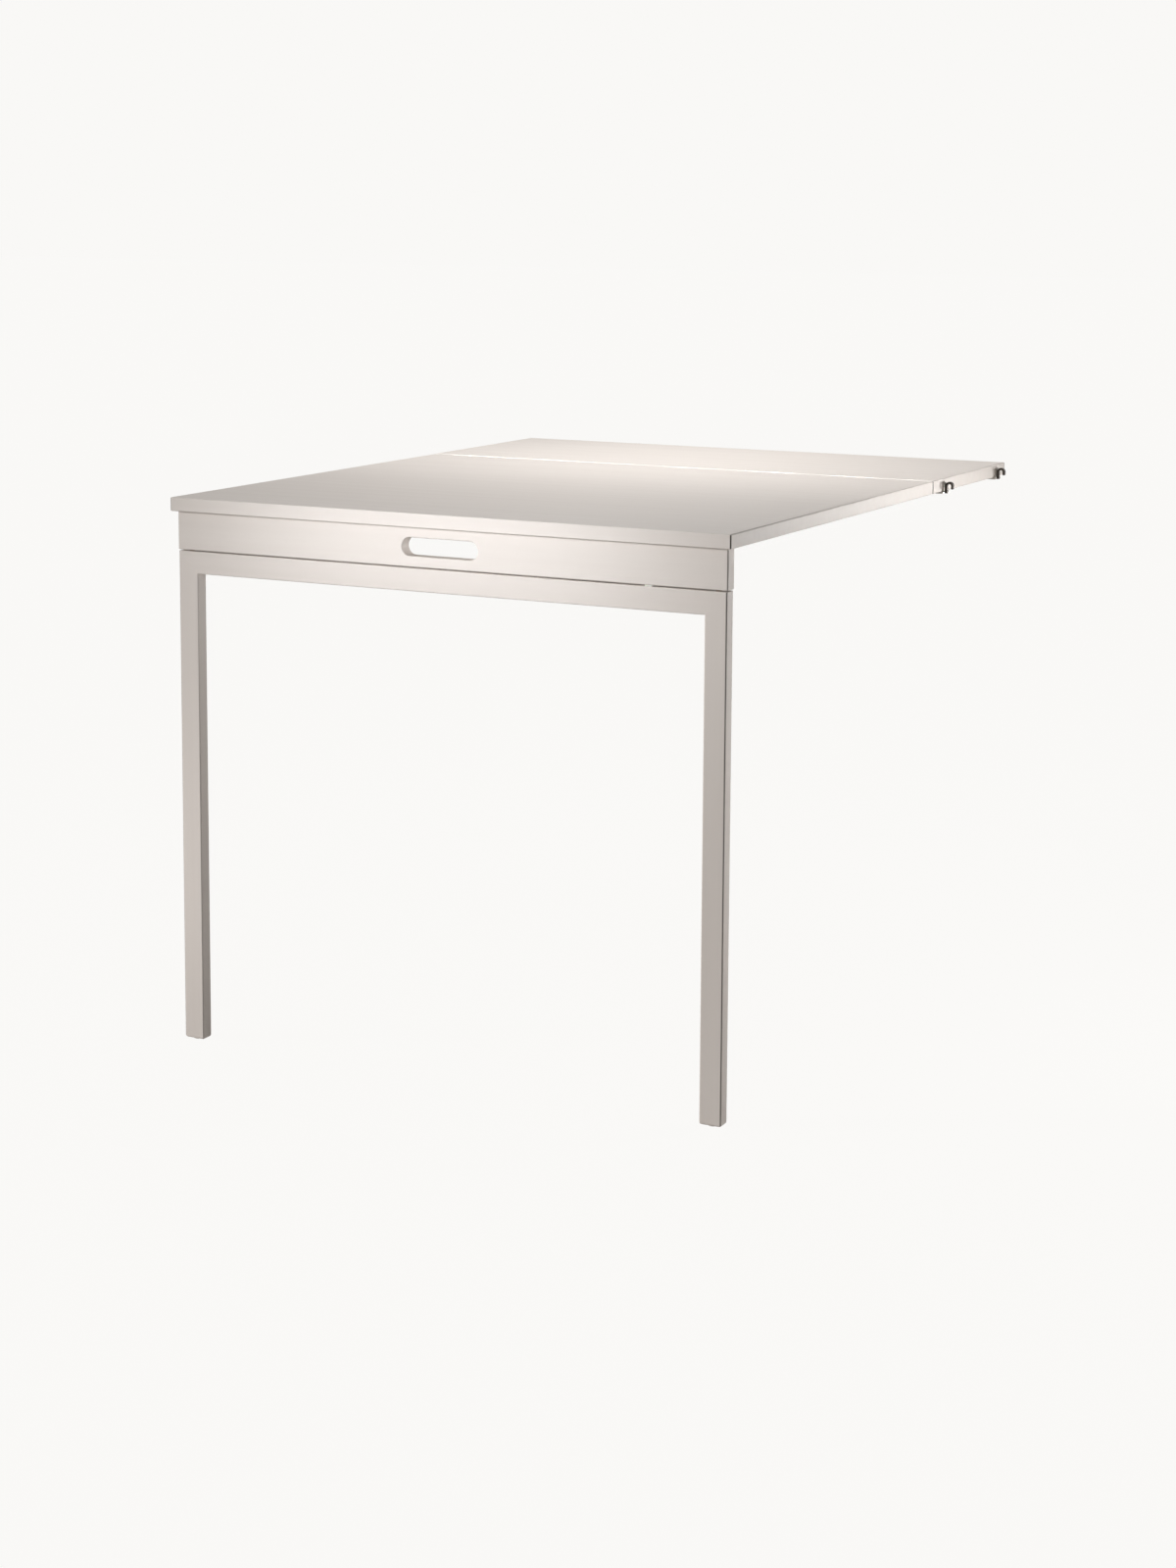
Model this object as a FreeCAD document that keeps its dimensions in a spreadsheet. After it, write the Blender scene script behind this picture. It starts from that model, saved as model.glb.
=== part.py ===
import FreeCAD, Part
import os
import Sketcher
from types import SimpleNamespace

# A wall mounted drop leaf table, in millimetres.
# The shelf hangs on four side hooks, the leaf is hinged to the shelf's front edge,
# and an inverted U of two legs and a rail is hinged under the leaf's apron.
# X runs along the width, Y towards the wall and Z up; the feet stand at Z zero.

# Driving dimensions, one row of the spreadsheet each.
SIZES = {
    # top
    "table_width": 780.0,
    "table_height": 710.0,
    "shelf_depth": 300.0,
    "leaf_depth": 671.0,
    "seam_gap": 1.0,
    "board_thickness": 18.0,
    "leaf_relief": 0.4,
    "edge_radius": 1.5,
    # apron under the leaf's front edge
    "frame_thickness": 18.0,
    "apron_height": 49.5,
    "apron_inset": 6.5,
    "apron_setback": 7.5,
    "slot_length": 106.0,
    "slot_height": 23.0,
    "dowel_radius": 4.0,
    "apron_dowel_length": 30.0,
    "apron_dowel_seat": 10.0,
    "apron_dowel_inset": 60.0,
    # folding leg frame
    "leg_gap": 1.5,
    "leg_inset": 7.5,
    "leg_width": 28.5,
    "rail_height": 28.5,
    "leg_edge_radius": 1.5,
    "foot_edge_radius": 3.5,
    "corner_dowel_length": 60.0,
    "glide_radius": 5.5,
    "glide_thickness": 1.0,
    "glide_pin_radius": 1.5,
    "glide_pin_length": 12.0,
    # butt hinges
    "hinge_length": 60.0,
    "hinge_plate_width": 24.0,
    "hinge_sheet": 1.5,
    "barrel_radius": 3.0,
    "knuckle_gap": 0.3,
    "pin_radius": 1.5,
    "pin_head_radius": 2.3,
    "pin_head_thickness": 0.8,
    "leaf_hinge_inset": 120.0,
    "leg_hinge_inset": 186.5,
    # wood screws
    "screw_radius": 1.5,
    "screw_head_radius": 3.0,
    "screw_length": 14.0,
    "screw_tip_length": 3.0,
    "recess_length": 3.6,
    "recess_width": 0.8,
    "recess_depth": 1.0,
    # side hooks
    "hook_sheet": 2.5,
    "hook_width": 9.5,
    "hook_crook_depth": 5.0,
    "hook_top_drop": 4.5,
    "hook_band": 3.0,
    "hook_seat_radius": 2.7,
    "hook_tip_length": 10.4,
    "hook_flange_length": 24.0,
    "hook_flange_lead": 4.0,
    "hook_flange_depth": 25.0,
    "hook_front_inset": 36.0,
    "hook_pitch": 218.0,
    # rubber pads
    "bumper_width": 11.0,
    "bumper_depth": 10.0,
    "bumper_corner_radius": 2.0,
    "bumper_inset": 101.5,
    "bumper_setback": 0.3,
    "bumper_clearance": 0.1,
    "rest_radius": 6.0,
    "rest_height": 5.0,
    "rest_inset": 51.5,
    # fits and cuts
    "fit_clearance": 0.05,
    "cut_overrun": 2.0,
}

# Five knuckles to a hinge: the fixed plate carries the outer and middle ones.
KNUCKLES = 5
FIXED_KNUCKLES = (0, 2, 4)
MOVING_KNUCKLES = (1, 3)
# Screw places on a hinge plate, as shares of its length and of its width.
HINGE_SCREW_SHARES = ((-0.36, 0.38), (0.0, 0.66), (0.36, 0.38))
# Screw places along a hook's flange, as shares of its length.
FLANGE_SCREW_SHARES = (0.2, 0.8)
# The tongue of a knuckle starts this share of the barrel's radius off the pin's axis.
TONGUE_SHARE = 0.3
# Apron dowels, as shares of the way from the middle to the outermost dowel.
DOWEL_SHARES = (-1.0, -0.35, 0.35, 1.0)
SIDES = {"left": -1, "right": 1}


class Size:
    """A length that carries its sheet formula and the value that the formula has now."""

    def __init__(self, formula, value):
        self.formula = formula
        self.value = value

    def join(self, sign, other, value):
        return Size(f"({self.formula} {sign} {other.formula})", value)

    def __add__(self, other):
        other = as_size(other)
        return self.join("+", other, self.value + other.value)

    def __sub__(self, other):
        other = as_size(other)
        return self.join("-", other, self.value - other.value)

    def __mul__(self, other):
        other = as_size(other)
        return self.join("*", other, self.value * other.value)

    def __truediv__(self, other):
        other = as_size(other)
        return self.join("/", other, self.value / other.value)

    def __neg__(self):
        return self * -1

    __rmul__ = __mul__


def as_size(item):
    """A plain number, such as a count, a share or zero, as a Size."""
    return item if isinstance(item, Size) else Size(f"({float(item)})", float(item))


document = FreeCAD.newDocument("DropLeafTable")
sheet = document.addObject("Spreadsheet::Sheet", "Sizes")
for row, (alias, number) in enumerate(SIZES.items(), start=1):
    sheet.set(f"A{row}", alias)
    sheet.set(f"B{row}", str(number))
    sheet.setAlias(f"B{row}", alias)
document.recompute()
S = SimpleNamespace(**{alias: Size(f"Sizes.{alias}", number) for alias, number in SIZES.items()})

# Places that several pieces share.
HALF_WIDTH = S.table_width / 2
FRONT_Y = -(S.leaf_depth + S.seam_gap + S.shelf_depth) / 2
LEAF_REAR_Y = FRONT_Y + S.leaf_depth
SEAM_Y = LEAF_REAR_Y + S.seam_gap / 2
SHELF_FRONT_Y = SEAM_Y + S.seam_gap / 2
UNDERSIDE_Z = S.table_height - S.board_thickness
APRON_FRONT_Y = FRONT_Y + S.apron_setback
APRON_REAR_Y = APRON_FRONT_Y + S.frame_thickness
APRON_LOW_Z = UNDERSIDE_Z - S.apron_height
RAIL_TOP_Z = APRON_LOW_Z - S.leg_gap
LEAF_AXIS_Z = UNDERSIDE_Z - S.barrel_radius
LEG_AXIS_Y = APRON_REAR_Y + S.barrel_radius
LEG_AXIS_Z = RAIL_TOP_Z + S.leg_gap / 2
LEG_OUTER_X = HALF_WIDTH - S.leg_inset
LEG_INNER_X = LEG_OUTER_X - S.leg_width
LEG_CENTRE_X = LEG_OUTER_X - S.leg_width / 2
PLATE_START = S.barrel_radius + S.knuckle_gap
PILOT_RADIUS = S.screw_radius + S.fit_clearance
DOWEL_HOLE_RADIUS = S.dowel_radius + S.fit_clearance
HINGE_SCREWS = [(S.hinge_length * along, PLATE_START + S.hinge_plate_width * across)
                for along, across in HINGE_SCREW_SHARES]
LEAF_HINGE_SPAN = HALF_WIDTH - S.leaf_hinge_inset
LEAF_HINGE_X = {"left": -LEAF_HINGE_SPAN, "centre": as_size(0), "right": LEAF_HINGE_SPAN}
LEG_HINGE_SPAN = HALF_WIDTH - S.leg_hinge_inset
LEG_HINGE_X = {name: LEG_HINGE_SPAN * side for name, side in SIDES.items()}

# Turns from a piece's own axes: the leg hinges stand upright behind the apron.
UPRIGHT = FreeCAD.Rotation(FreeCAD.Vector(1, 0, 0), 90)
ALONG_X = FreeCAD.Rotation(FreeCAD.Vector(0, 1, 0), 90)
ALONG_Y = FreeCAD.Rotation(FreeCAD.Vector(1, 0, 0), -90)
LEVEL = FreeCAD.Rotation()

nodes = []


def bind(item, path, size):
    item.setExpression(path, as_size(size).formula)


def place(item, x, y, z, turn=LEVEL):
    item.Placement = FreeCAD.Placement(FreeCAD.Vector(), turn)
    for axis, size in zip("xyz", (x, y, z)):
        bind(item, f"Placement.Base.{axis}", size)


def keep(item, label):
    """Names a finished sub-part and lists it for writing."""
    item.Label = label
    nodes.append(item)
    return item


def mirrored(side, near, far):
    """A stretch along one axis, on the positive side or mirrored to the negative one."""
    return (near, far) if side > 0 else (-far, -near)


def box(name, xs, ys, zs):
    block = document.addObject("Part::Box", name)
    starts = []
    for path, (low, high) in zip(("Length", "Width", "Height"), (xs, ys, zs)):
        low = as_size(low)
        bind(block, path, high - low)
        starts.append(low)
    place(block, *starts)
    return block


def rod(name, radius, length, x, y, z, turn=LEVEL):
    cylinder = document.addObject("Part::Cylinder", name)
    bind(cylinder, "Radius", radius)
    bind(cylinder, "Height", length)
    place(cylinder, x, y, z, turn)
    return cylinder


def taper(name, start_radius, end_radius, length, x, y, z):
    cone = document.addObject("Part::Cone", name)
    bind(cone, "Radius1", start_radius)
    bind(cone, "Radius2", end_radius)
    bind(cone, "Height", length)
    place(cone, x, y, z)
    return cone


def fuse(name, pieces):
    joined = document.addObject("Part::MultiFuse", name)
    joined.Shapes = pieces
    joined.Refine = True
    return joined


def cut(name, base, tools):
    remaining = document.addObject("Part::Cut", name)
    remaining.Base = base
    remaining.Tool = tools[0] if len(tools) == 1 else fuse(f"{name}_tools", tools)
    return remaining


def copies(label, master, places, turn=LEVEL):
    """One node of separate solids: the master repeated at each place."""
    links = []
    for number, spot in enumerate(places, start=1):
        link = document.addObject("App::Link", f"{label}_{number}")
        link.setLink(master)
        place(link, *spot, turn)
        links.append(link)
    group = document.addObject("Part::Compound", label)
    group.Links = links
    return keep(group, label)


def new_body(label, x, y, z):
    body = document.addObject("PartDesign::Body", label)
    place(body, x, y, z)
    return keep(body, label)


def plane_sketch(body, role, name, lift):
    plane = next(feature for feature in body.Origin.OriginFeatures if feature.Role == role)
    sketch = body.newObject("Sketcher::SketchObject", f"{body.Label}_{name}")
    sketch.AttachmentSupport = (plane, [""])
    sketch.MapMode = "FlatFace"
    bind(sketch, "AttachmentOffset.Base.z", lift)
    return sketch


def pin_point(sketch, geometry, position, name, x, y):
    """Holds one point of a sketch at a bound place."""
    for kind, axis, size in (("DistanceX", "x", x), ("DistanceY", "y", y)):
        constraint = Sketcher.Constraint(kind, -1, 1, geometry, position, as_size(size).value)
        sketch.renameConstraint(sketch.addConstraint(constraint), f"{name}{axis}")
        bind(sketch, f"Constraints.{name}{axis}", size)


def flat(x, y):
    return FreeCAD.Vector(as_size(x).value, as_size(y).value, 0)


def polygon(body, role, name, points, lift=0):
    sketch = plane_sketch(body, role, name, lift)
    for start, end in zip(points, points[1:] + points[:1]):
        sketch.addGeometry(Part.LineSegment(flat(*start), flat(*end)), False)
    for line in range(len(points)):
        sketch.addConstraint(Sketcher.Constraint("Coincident", line, 2, (line + 1) % len(points), 1))
    for line, (x, y) in enumerate(points):
        pin_point(sketch, line, 1, f"corner{line}", x, y)
    return sketch


def rectangle(body, role, name, xs, ys, lift=0):
    (left, right), (low, high) = xs, ys
    return polygon(body, role, name, [(left, low), (right, low), (right, high), (left, high)], lift)


def circles(body, role, name, centres, radius, lift=0):
    sketch = plane_sketch(body, role, name, lift)
    for number, (x, y) in enumerate(centres):
        circle = Part.Circle(flat(x, y), FreeCAD.Vector(0, 0, 1), radius.value)
        geometry = sketch.addGeometry(circle, False)
        constraint = Sketcher.Constraint("Radius", geometry, radius.value)
        sketch.renameConstraint(sketch.addConstraint(constraint), f"radius{number}")
        bind(sketch, f"Constraints.radius{number}", radius)
        pin_point(sketch, geometry, 3, f"centre{number}", x, y)
    return sketch


def stadium(body, role, name, half_span, radius, height):
    """A slot outline with round ends, centred across and at a height."""
    sketch = plane_sketch(body, role, name, 0)
    up = FreeCAD.Vector(0, 0, 1)
    quarter = FreeCAD.Units.parseQuantity("90 deg").getValueAs("rad").Value
    left = Part.Circle(flat(-half_span, height), up, radius.value)
    right = Part.Circle(flat(half_span, height), up, radius.value)
    low = height - radius
    high = height + radius
    sketch.addGeometry(Part.ArcOfCircle(left, quarter, 3 * quarter), False)
    sketch.addGeometry(Part.LineSegment(flat(-half_span, low), flat(half_span, low)), False)
    sketch.addGeometry(Part.ArcOfCircle(right, -quarter, quarter), False)
    sketch.addGeometry(Part.LineSegment(flat(half_span, high), flat(-half_span, high)), False)
    for piece in range(4):
        sketch.addConstraint(Sketcher.Constraint("Tangent", piece, 2, (piece + 1) % 4, 1))
    constraint = Sketcher.Constraint("Radius", 0, radius.value)
    sketch.renameConstraint(sketch.addConstraint(constraint), "end_radius")
    bind(sketch, "Constraints.end_radius", radius)
    pin_point(sketch, 0, 3, "left", -half_span, height)
    pin_point(sketch, 2, 3, "right", half_span, height)
    return sketch


def pad(body, sketch, length):
    feature = body.newObject("PartDesign::Pad", f"{sketch.Name}_pad")
    feature.Profile = sketch
    bind(feature, "Length", length)
    document.recompute()
    return feature


def pocket(body, sketch, depth, along_normal):
    """Cuts a sketch into the body, and makes sure that it took material away."""
    before = body.Shape.Volume
    feature = body.newObject("PartDesign::Pocket", f"{sketch.Name}_pocket")
    feature.Profile = sketch
    feature.Reversed = along_normal
    bind(feature, "Length", depth)
    document.recompute()
    if not body.Shape.Volume < before:
        raise RuntimeError(f"{feature.Name} cuts nothing")
    return feature


def round_edges(body, radius, wanted):
    """Rounds the edges of the body's last feature that a test picks by their bounding box."""
    base = body.Tip
    edges = enumerate(base.Shape.Edges, start=1)
    names = [f"Edge{number}" for number, edge in edges if wanted(edge.BoundBox)]
    feature = body.newObject("PartDesign::Fillet", f"{base.Name}_rounded")
    feature.Base = (base, names)
    bind(feature, "Radius", radius)
    document.recompute()
    return feature


# Master pieces that the fastener groups repeat; they are not written by themselves.

def make_screw():
    """A countersunk wood screw, its head's face at zero and its point upwards, with a cross recess."""
    shank_end = S.screw_length - S.screw_tip_length
    head = taper("screw_head", S.screw_head_radius, S.screw_radius, S.hinge_sheet, 0, 0, 0)
    shank = rod("screw_shank", S.screw_radius, shank_end - S.hinge_sheet, 0, 0, S.hinge_sheet)
    point = taper("screw_point", S.screw_radius, S.recess_width / 2, S.screw_tip_length, 0, 0, shank_end)
    half_length = S.recess_length / 2
    half_width = S.recess_width / 2
    depth = (-S.cut_overrun, S.recess_depth)
    across = box("recess_across", (-half_length, half_length), (-half_width, half_width), depth)
    along = box("recess_along", (-half_width, half_width), (-half_length, half_length), depth)
    return cut("screw", fuse("screw_blank", [head, shank, point]), [across, along])


def make_pin():
    """A hinge pin along X with a flat head at each end, clear of the outer knuckles."""
    head_start = S.hinge_length / 2 + S.fit_clearance
    shaft = rod("pin_shaft", S.pin_radius, head_start * 2, -head_start, 0, 0, ALONG_X)
    left = rod("pin_left_head", S.pin_head_radius, S.pin_head_thickness,
               -(head_start + S.pin_head_thickness), 0, 0, ALONG_X)
    right = rod("pin_right_head", S.pin_head_radius, S.pin_head_thickness, head_start, 0, 0, ALONG_X)
    return fuse("pin", [shaft, left, right])


screw = make_screw()
hinge_pin = make_pin()


# Boards of the top

def make_top_board(label, front_y, depth, thickness, pilots):
    board = new_body(label, 0, front_y, UNDERSIDE_Z)
    outline = rectangle(board, "XY_Plane", "outline", (-HALF_WIDTH, HALF_WIDTH), (as_size(0), depth))
    pad(board, outline, thickness)
    round_edges(board, S.edge_radius, lambda extent: True)
    for name, centres, radius, hole_depth in pilots:
        pocket(board, circles(board, "XY_Plane", name, centres, radius), hole_depth, True)
    return board


def hook_spots():
    """Front edges of the two hook uprights, measured back from the shelf's front edge."""
    return {"front": S.hook_front_inset, "rear": S.hook_front_inset + S.hook_pitch}


def hook_screw_places():
    """Hook screws across the width and back from the shelf's front edge."""
    places = []
    for side in SIDES.values():
        for spot in hook_spots().values():
            for share in FLANGE_SCREW_SHARES:
                back = spot - S.hook_flange_lead + S.hook_flange_length * share
                places.append(((HALF_WIDTH - S.hook_flange_depth / 2) * side, back))
    return places


PLATE_PILOT_DEPTH = S.screw_length - S.hinge_sheet + S.fit_clearance
FLANGE_PILOT_DEPTH = S.screw_length - S.hook_sheet + S.fit_clearance
shelf_hinge_screw_places = [(x + along, back - S.seam_gap / 2)
                            for x in LEAF_HINGE_X.values() for along, back in HINGE_SCREWS]
leaf_hinge_screw_places = [(x + along, S.leaf_depth + S.seam_gap / 2 - back)
                           for x in LEAF_HINGE_X.values() for along, back in HINGE_SCREWS]
apron_dowel_span = HALF_WIDTH - S.apron_inset - S.apron_dowel_inset
apron_dowel_places = [apron_dowel_span * share for share in DOWEL_SHARES]
apron_middle = S.apron_setback + S.frame_thickness / 2

make_top_board("shelf_board", SHELF_FRONT_Y, S.shelf_depth, S.board_thickness, [
    ("hinge_pilots", shelf_hinge_screw_places, PILOT_RADIUS, PLATE_PILOT_DEPTH),
    ("hook_pilots", hook_screw_places(), PILOT_RADIUS, FLANGE_PILOT_DEPTH),
])
# The leaf lies a little lower than the shelf, whose rounded edge shows along the seam.
make_top_board("leaf_board", FRONT_Y, S.leaf_depth, S.board_thickness - S.leaf_relief, [
    ("hinge_pilots", leaf_hinge_screw_places, PILOT_RADIUS, PLATE_PILOT_DEPTH),
    ("dowel_holes", [(x, apron_middle) for x in apron_dowel_places], DOWEL_HOLE_RADIUS,
     S.apron_dowel_seat + S.fit_clearance),
])


# Side hooks: a flange under the shelf, an upright on its edge and a crook that hangs on a rung

def make_hook(label, side, spot):
    rise = S.board_thickness - S.hook_top_drop
    crook_radius = S.hook_seat_radius + S.hook_band
    seat_x = S.hook_sheet + crook_radius
    seat_z = rise - crook_radius
    crook = (S.hook_width - S.hook_crook_depth, S.hook_width)
    flange = box(f"{label}_flange", mirrored(side, -S.hook_flange_depth, S.hook_sheet),
                 (-S.hook_flange_lead, S.hook_flange_length - S.hook_flange_lead),
                 (-S.hook_sheet, as_size(0)))
    upright = box(f"{label}_upright", mirrored(side, as_size(0), S.hook_sheet),
                  (as_size(0), S.hook_width), (-S.hook_sheet, rise))
    inner_leg = box(f"{label}_inner_leg", mirrored(side, S.hook_sheet, S.hook_sheet + S.hook_band),
                    crook, (-S.hook_sheet, seat_z))
    outer_start = seat_x + S.hook_seat_radius
    tip_z = rise - S.hook_tip_length + S.hook_band / 2
    outer_leg = box(f"{label}_outer_leg", mirrored(side, outer_start, outer_start + S.hook_band),
                    crook, (tip_z, seat_z))
    tip = rod(f"{label}_tip", S.hook_band / 2, S.hook_crook_depth, (outer_start + S.hook_band / 2) * side,
              crook[0], tip_z, ALONG_Y)
    # A half disc, turned so that its round side is up, makes the arch of the crook.
    arch = rod(f"{label}_arch", crook_radius, S.hook_crook_depth, seat_x * side, crook[1], seat_z, UPRIGHT)
    arch.Angle = 180
    seat = rod(f"{label}_seat", S.hook_seat_radius, S.hook_crook_depth + S.cut_overrun * 2,
               seat_x * side, crook[0] - S.cut_overrun, seat_z, ALONG_Y)
    ring = cut(f"{label}_ring", arch, [seat])
    holes = []
    for number, share in enumerate(FLANGE_SCREW_SHARES, start=1):
        x = S.hook_flange_depth / -2 * side
        y = S.hook_flange_length * share - S.hook_flange_lead
        holes.append(taper(f"{label}_sink{number}", S.screw_head_radius + S.fit_clearance, PILOT_RADIUS,
                           S.hinge_sheet, x, y, -S.hook_sheet))
        holes.append(rod(f"{label}_hole{number}", PILOT_RADIUS, S.hook_sheet + S.cut_overrun,
                         x, y, -S.hook_sheet))
    blank = fuse(f"{label}_blank", [flange, upright, inner_leg, ring, outer_leg, tip])
    hook = cut(label, blank, holes)
    place(hook, HALF_WIDTH * side, SHELF_FRONT_Y + spot, UNDERSIDE_Z)
    return keep(hook, label)


for side_name, side_sign in SIDES.items():
    for spot_name, hook_spot in hook_spots().items():
        make_hook(f"hook_{side_name}_{spot_name}", side_sign, hook_spot)
copies("hook_screws", screw, [(x, SHELF_FRONT_Y + back, UNDERSIDE_Z - S.hook_sheet)
                              for x, back in hook_screw_places()])


# Butt hinges: the pin's axis is the plate's own X axis and the plate lies against the wood above it

def make_hinge_plate(label, side, knuckles, x, y, z, turn=LEVEL):
    half_length = S.hinge_length / 2
    sheet_depth = (S.barrel_radius - S.hinge_sheet, S.barrel_radius)
    pieces = [box(f"{label}_sheet", (-half_length, half_length),
                  mirrored(side, PLATE_START, PLATE_START + S.hinge_plate_width), sheet_depth)]
    knuckle_length = (S.hinge_length - S.knuckle_gap * (KNUCKLES - 1)) / KNUCKLES
    for number in knuckles:
        start = (knuckle_length + S.knuckle_gap) * number - half_length
        pieces.append(rod(f"{label}_knuckle{number}", S.barrel_radius, knuckle_length,
                          start, 0, 0, ALONG_X))
        pieces.append(box(f"{label}_tongue{number}", (start, start + knuckle_length),
                          mirrored(side, S.barrel_radius * TONGUE_SHARE, PLATE_START), sheet_depth))
    cuts = [rod(f"{label}_bore", S.pin_radius + S.fit_clearance, S.hinge_length + S.cut_overrun * 2,
                -half_length - S.cut_overrun, 0, 0, ALONG_X)]
    for number, (along, across) in enumerate(HINGE_SCREWS, start=1):
        cuts.append(taper(f"{label}_sink{number}", S.screw_head_radius + S.fit_clearance, PILOT_RADIUS,
                          S.hinge_sheet, along, across * side, sheet_depth[0]))
    plate = cut(label, fuse(f"{label}_blank", pieces), cuts)
    place(plate, x, y, z, turn)
    return keep(plate, label)


for hinge_name, hinge_x in LEAF_HINGE_X.items():
    make_hinge_plate(f"shelf_hinge_plate_{hinge_name}", 1, FIXED_KNUCKLES, hinge_x, SEAM_Y, LEAF_AXIS_Z)
    make_hinge_plate(f"leaf_hinge_plate_{hinge_name}", -1, MOVING_KNUCKLES, hinge_x, SEAM_Y, LEAF_AXIS_Z)
copies("leaf_hinge_pins", hinge_pin, [(x, SEAM_Y, LEAF_AXIS_Z) for x in LEAF_HINGE_X.values()])
plate_face_z = UNDERSIDE_Z - S.hinge_sheet
copies("shelf_hinge_screws", screw, [(x, SHELF_FRONT_Y + y, plate_face_z)
                                     for x, y in shelf_hinge_screw_places])
copies("leaf_hinge_screws", screw, [(x, FRONT_Y + y, plate_face_z)
                                    for x, y in leaf_hinge_screw_places])


# Apron with its handle slot

def make_apron():
    half = HALF_WIDTH - S.apron_inset
    apron = new_body("apron", 0, APRON_REAR_Y, APRON_LOW_Z)
    outline = rectangle(apron, "XZ_Plane", "outline", (-half, half), (as_size(0), S.apron_height))
    pad(apron, outline, S.frame_thickness)
    touch = S.fit_clearance.value
    top = S.apron_height.value
    round_edges(apron, S.edge_radius, lambda extent: extent.ZMin < top - touch)
    radius = S.slot_height / 2
    slot = stadium(apron, "XZ_Plane", "slot", S.slot_length / 2 - radius, radius, S.apron_height / 2)
    pocket(apron, slot, S.frame_thickness, True)
    reach = S.slot_length.value / 2 + touch
    low = (top - S.slot_height.value) / 2 - touch
    round_edges(apron, S.edge_radius, lambda extent: extent.XMax < reach and extent.XMin > -reach
                and extent.ZMin > low and extent.YLength < touch)
    pilots = [(x + along, up - S.leg_gap / 2) for x in LEG_HINGE_X.values() for along, up in HINGE_SCREWS]
    pocket(apron, circles(apron, "XZ_Plane", "hinge_pilots", pilots, PILOT_RADIUS), PLATE_PILOT_DEPTH, True)
    dowels = [(x, -S.frame_thickness / 2) for x in apron_dowel_places]
    holes = circles(apron, "XY_Plane", "dowel_holes", dowels, DOWEL_HOLE_RADIUS, S.apron_height)
    pocket(apron, holes, S.apron_dowel_length - S.apron_dowel_seat + S.fit_clearance, False)
    return apron


make_apron()
apron_dowel = rod("apron_dowel", S.dowel_radius, S.apron_dowel_length, 0, 0, 0)
dowel_low_z = UNDERSIDE_Z + S.apron_dowel_seat - S.apron_dowel_length
copies("apron_dowels", apron_dowel, [(x, FRONT_Y + apron_middle, dowel_low_z) for x in apron_dowel_places])


# Folding leg frame: two legs and a rail, mitred at the corners and pinned by a dowel in each

def make_leg(label, side):
    outer = LEG_OUTER_X * side
    inner = LEG_INNER_X * side
    leg = new_body(label, 0, APRON_REAR_Y, 0)
    corners = [(outer, S.glide_thickness), (inner, S.glide_thickness),
               (inner, RAIL_TOP_Z - S.rail_height), (outer, RAIL_TOP_Z)]
    pad(leg, polygon(leg, "XZ_Plane", "outline", corners), S.frame_thickness)
    shoulder = RAIL_TOP_Z.value - S.rail_height.value - S.fit_clearance.value
    sole = S.glide_thickness.value + S.fit_clearance.value
    round_edges(leg, S.foot_edge_radius, lambda extent: extent.ZMax < sole)
    round_edges(leg, S.leg_edge_radius, lambda extent: extent.ZLength > shoulder / 2)
    centre = [(LEG_CENTRE_X * side, -S.frame_thickness / 2)]
    pin_hole = circles(leg, "XY_Plane", "glide_hole", centre, S.glide_pin_radius + S.fit_clearance,
                       S.glide_thickness)
    pocket(leg, pin_hole, S.glide_pin_length + S.fit_clearance, True)
    dowel_hole = circles(leg, "XY_Plane", "dowel_hole", centre, DOWEL_HOLE_RADIUS, RAIL_TOP_Z)
    pocket(leg, dowel_hole, S.corner_dowel_length + S.fit_clearance, False)
    return leg


def make_rail():
    rail = new_body("leg_rail", 0, APRON_REAR_Y, 0)
    low = RAIL_TOP_Z - S.rail_height
    corners = [(-LEG_OUTER_X, RAIL_TOP_Z), (LEG_OUTER_X, RAIL_TOP_Z),
               (LEG_INNER_X, low), (-LEG_INNER_X, low)]
    pad(rail, polygon(rail, "XZ_Plane", "outline", corners), S.frame_thickness)
    long_edge = LEG_INNER_X.value
    round_edges(rail, S.leg_edge_radius, lambda extent: extent.XLength > long_edge)
    pilots = [(x + along, LEG_AXIS_Z - down) for x in LEG_HINGE_X.values() for along, down in HINGE_SCREWS]
    pocket(rail, circles(rail, "XZ_Plane", "hinge_pilots", pilots, PILOT_RADIUS), PLATE_PILOT_DEPTH, True)
    dowels = [(LEG_CENTRE_X * side, -S.frame_thickness / 2) for side in SIDES.values()]
    holes = circles(rail, "XY_Plane", "dowel_holes", dowels, DOWEL_HOLE_RADIUS, RAIL_TOP_Z)
    pocket(rail, holes, S.rail_height, False)
    return rail


def make_glide(label, side):
    disc = rod(f"{label}_disc", S.glide_radius, S.glide_thickness, 0, 0, 0)
    pin = rod(f"{label}_pin", S.glide_pin_radius, S.glide_pin_length, 0, 0, S.glide_thickness)
    glide = fuse(label, [disc, pin])
    place(glide, LEG_CENTRE_X * side, APRON_REAR_Y - S.frame_thickness / 2, 0)
    return keep(glide, label)


for side_name, side_sign in SIDES.items():
    make_leg(f"{side_name}_leg", side_sign)
    make_glide(f"foot_glide_{side_name}", side_sign)
make_rail()
corner_dowel = rod("corner_dowel", S.dowel_radius, S.corner_dowel_length, 0, 0, 0)
copies("corner_dowels", corner_dowel, [(LEG_CENTRE_X * side, APRON_REAR_Y - S.frame_thickness / 2,
                                        RAIL_TOP_Z - S.corner_dowel_length) for side in SIDES.values()])

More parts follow.
